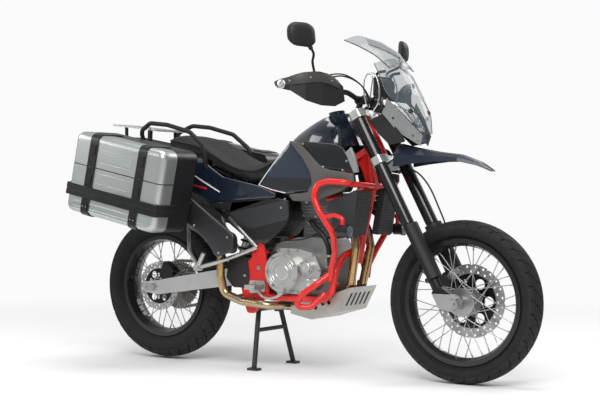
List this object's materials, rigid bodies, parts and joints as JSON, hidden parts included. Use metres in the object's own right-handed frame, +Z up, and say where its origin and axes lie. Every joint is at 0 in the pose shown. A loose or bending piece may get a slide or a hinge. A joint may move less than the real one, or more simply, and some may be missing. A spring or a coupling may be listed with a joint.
{
  "type": "adventure motorcycle",
  "caption": "Adventure motorcycle with wire wheels, crash bars, hand guards, rear rack and opening hard panniers, upright on its centre stand.",
  "frame": {"origin": "on the floor under the middle of the motorcycle's length, in its middle plane", "axes": "+X forward, +Y to the rider's left, +Z up"},
  "size_m": [2.2139, 1, 1.4476],
  "materials": {
    "tyre_rubber": "matt",
    "rim_black": "satin black",
    "hub_alloy": "satin",
    "disc_steel": "ground",
    "chain_steel": "oiled",
    "axle_steel": "satin",
    "brushed_alloy": "brushed",
    "red_steel": "gloss red",
    "sheet_alloy": "satin sheet",
    "engine_alloy": "cast",
    "cover_alloy": "satin cast",
    "black_plastic": "matt",
    "header_steel": "heat-tinted",
    "silencer_steel": "satin dark grey",
    "radiator_black": "matt black",
    "lamp_black": "satin",
    "clamp_alloy": "satin",
    "fork_black": "gloss black",
    "fork_alloy": "satin",
    "caliper_black": "anodised",
    "bar_black": "satin black",
    "grip_rubber": "matt",
    "screen_clear": "clear smoke",
    "body_gloss": "gloss blue-black",
    "silver_plastic": "silver",
    "lamp_glass": "gloss",
    "black_steel": "satin black",
    "tank_gloss": "gloss blue-black",
    "panel_satin": "satin",
    "panel_grey": "matt warm grey",
    "seat_cover": "grained cover over foam",
    "rack_alloy": "satin",
    "pannier_alloy": "anodised",
    "lamp_red": "gloss",
    "peg_alloy": "cast",
    "shock_steel": "satin"
  },
  "bodies": {
    "chassis": {"aux_lamps": "lamp_black", "chain": "chain_steel", "crankcase": "engine_alloy", "crash_bars": "red_steel", "cylinder_and_head": "engine_alloy", "engine_covers": "cover_alloy", "exhaust_pipes": "header_steel", "footpegs": "peg_alloy", "fuel_tank": "tank_gloss", "intake": "black_plastic", "lower_covers": "black_plastic", "luggage_rack": "rack_alloy", "main_frame": "red_steel", "pannier_body_left": "pannier_alloy", "pannier_body_right": "pannier_alloy", "radiator_guards": "black_plastic", "radiators": "radiator_black", "rear_axle": "axle_steel", "rear_caliper": "caliper_black", "rear_lights": "lamp_red", "seat": "seat_cover", "shock": "shock_steel", "shrouds": "panel_grey", "side_covers": "body_gloss", "silencers": "silencer_steel", "skid_plate": "sheet_alloy", "subframe": "black_steel", "swingarm": "brushed_alloy", "tail_cover": "black_plastic", "tail_panels": "body_gloss", "tank_panels": "panel_satin"},
    "steering": {"triple_clamps": "clamp_alloy", "fork_tubes": "fork_black", "fork_legs": "fork_alloy", "fork_guards": "black_plastic", "front_axle": "axle_steel", "front_caliper": "caliper_black", "handlebar": "bar_black", "hand_guards": "black_plastic", "grips_and_levers": "grip_rubber", "mirrors": "black_plastic", "windscreen": "screen_clear", "beak_fender": "body_gloss", "fairing_sides": "silver_plastic", "headlight": "lamp_glass", "dash_and_stay": "black_steel"},
    "front_wheel": {"front_tyre": "tyre_rubber", "front_rim": "rim_black", "front_hub": "hub_alloy", "front_disc": "disc_steel"},
    "rear_wheel": {"rear_tyre": "tyre_rubber", "rear_rim": "rim_black", "rear_hub": "hub_alloy", "rear_disc": "disc_steel", "rear_sprocket": "chain_steel"},
    "centre_stand": {"centre_stand": "black_steel"},
    "side_stand": {"side_stand": "black_steel"},
    "pannier_lid_right": {"pannier_lid_right": "pannier_alloy"},
    "pannier_lid_left": {"pannier_lid_left": "pannier_alloy"}
  },
  "joints": [
    {"name": "steering", "type": "hinge", "parent": "chassis", "child": "steering", "pos_m": [0.348, 0, 1], "axis": [-0.4726, 0, 0.8813], "range_deg": [-38, 38]},
    {"name": "front_wheel_spin", "type": "hinge", "parent": "steering", "child": "front_wheel", "pos_m": [0.78241, 0, 0.3295], "axis": [0, 1, 0], "continuous": true},
    {"name": "rear_wheel_spin", "type": "hinge", "parent": "chassis", "child": "rear_wheel", "pos_m": [-0.72759, 0, 0.334], "axis": [0, 1, 0], "continuous": true},
    {"name": "centre_stand_fold", "type": "hinge", "parent": "chassis", "child": "centre_stand", "pos_m": [-0.168, 0, 0.262], "axis": [0, 1, 0], "range_deg": [0, 90]},
    {"name": "side_stand_fold", "type": "hinge", "parent": "chassis", "child": "side_stand", "pos_m": [0.012, 0.156, 0.244], "axis": [0, -0.9677, -0.2521], "range_deg": [0, 100], "stiffness_Nm_per_rad": 3, "springref_deg": -45.84},
    {"name": "pannier_lid_right_hinge", "type": "hinge", "parent": "chassis", "child": "pannier_lid_right", "pos_m": [-0.63542, -0.5005, 0.84429], "axis": [0.9799, 0, -0.1994], "range_deg": [0, 95]},
    {"name": "pannier_lid_left_hinge", "type": "hinge", "parent": "chassis", "child": "pannier_lid_left", "pos_m": [-0.63542, 0.5005, 0.84429], "axis": [-0.9799, 0, 0.1994], "range_deg": [0, 95]}
  ]
}
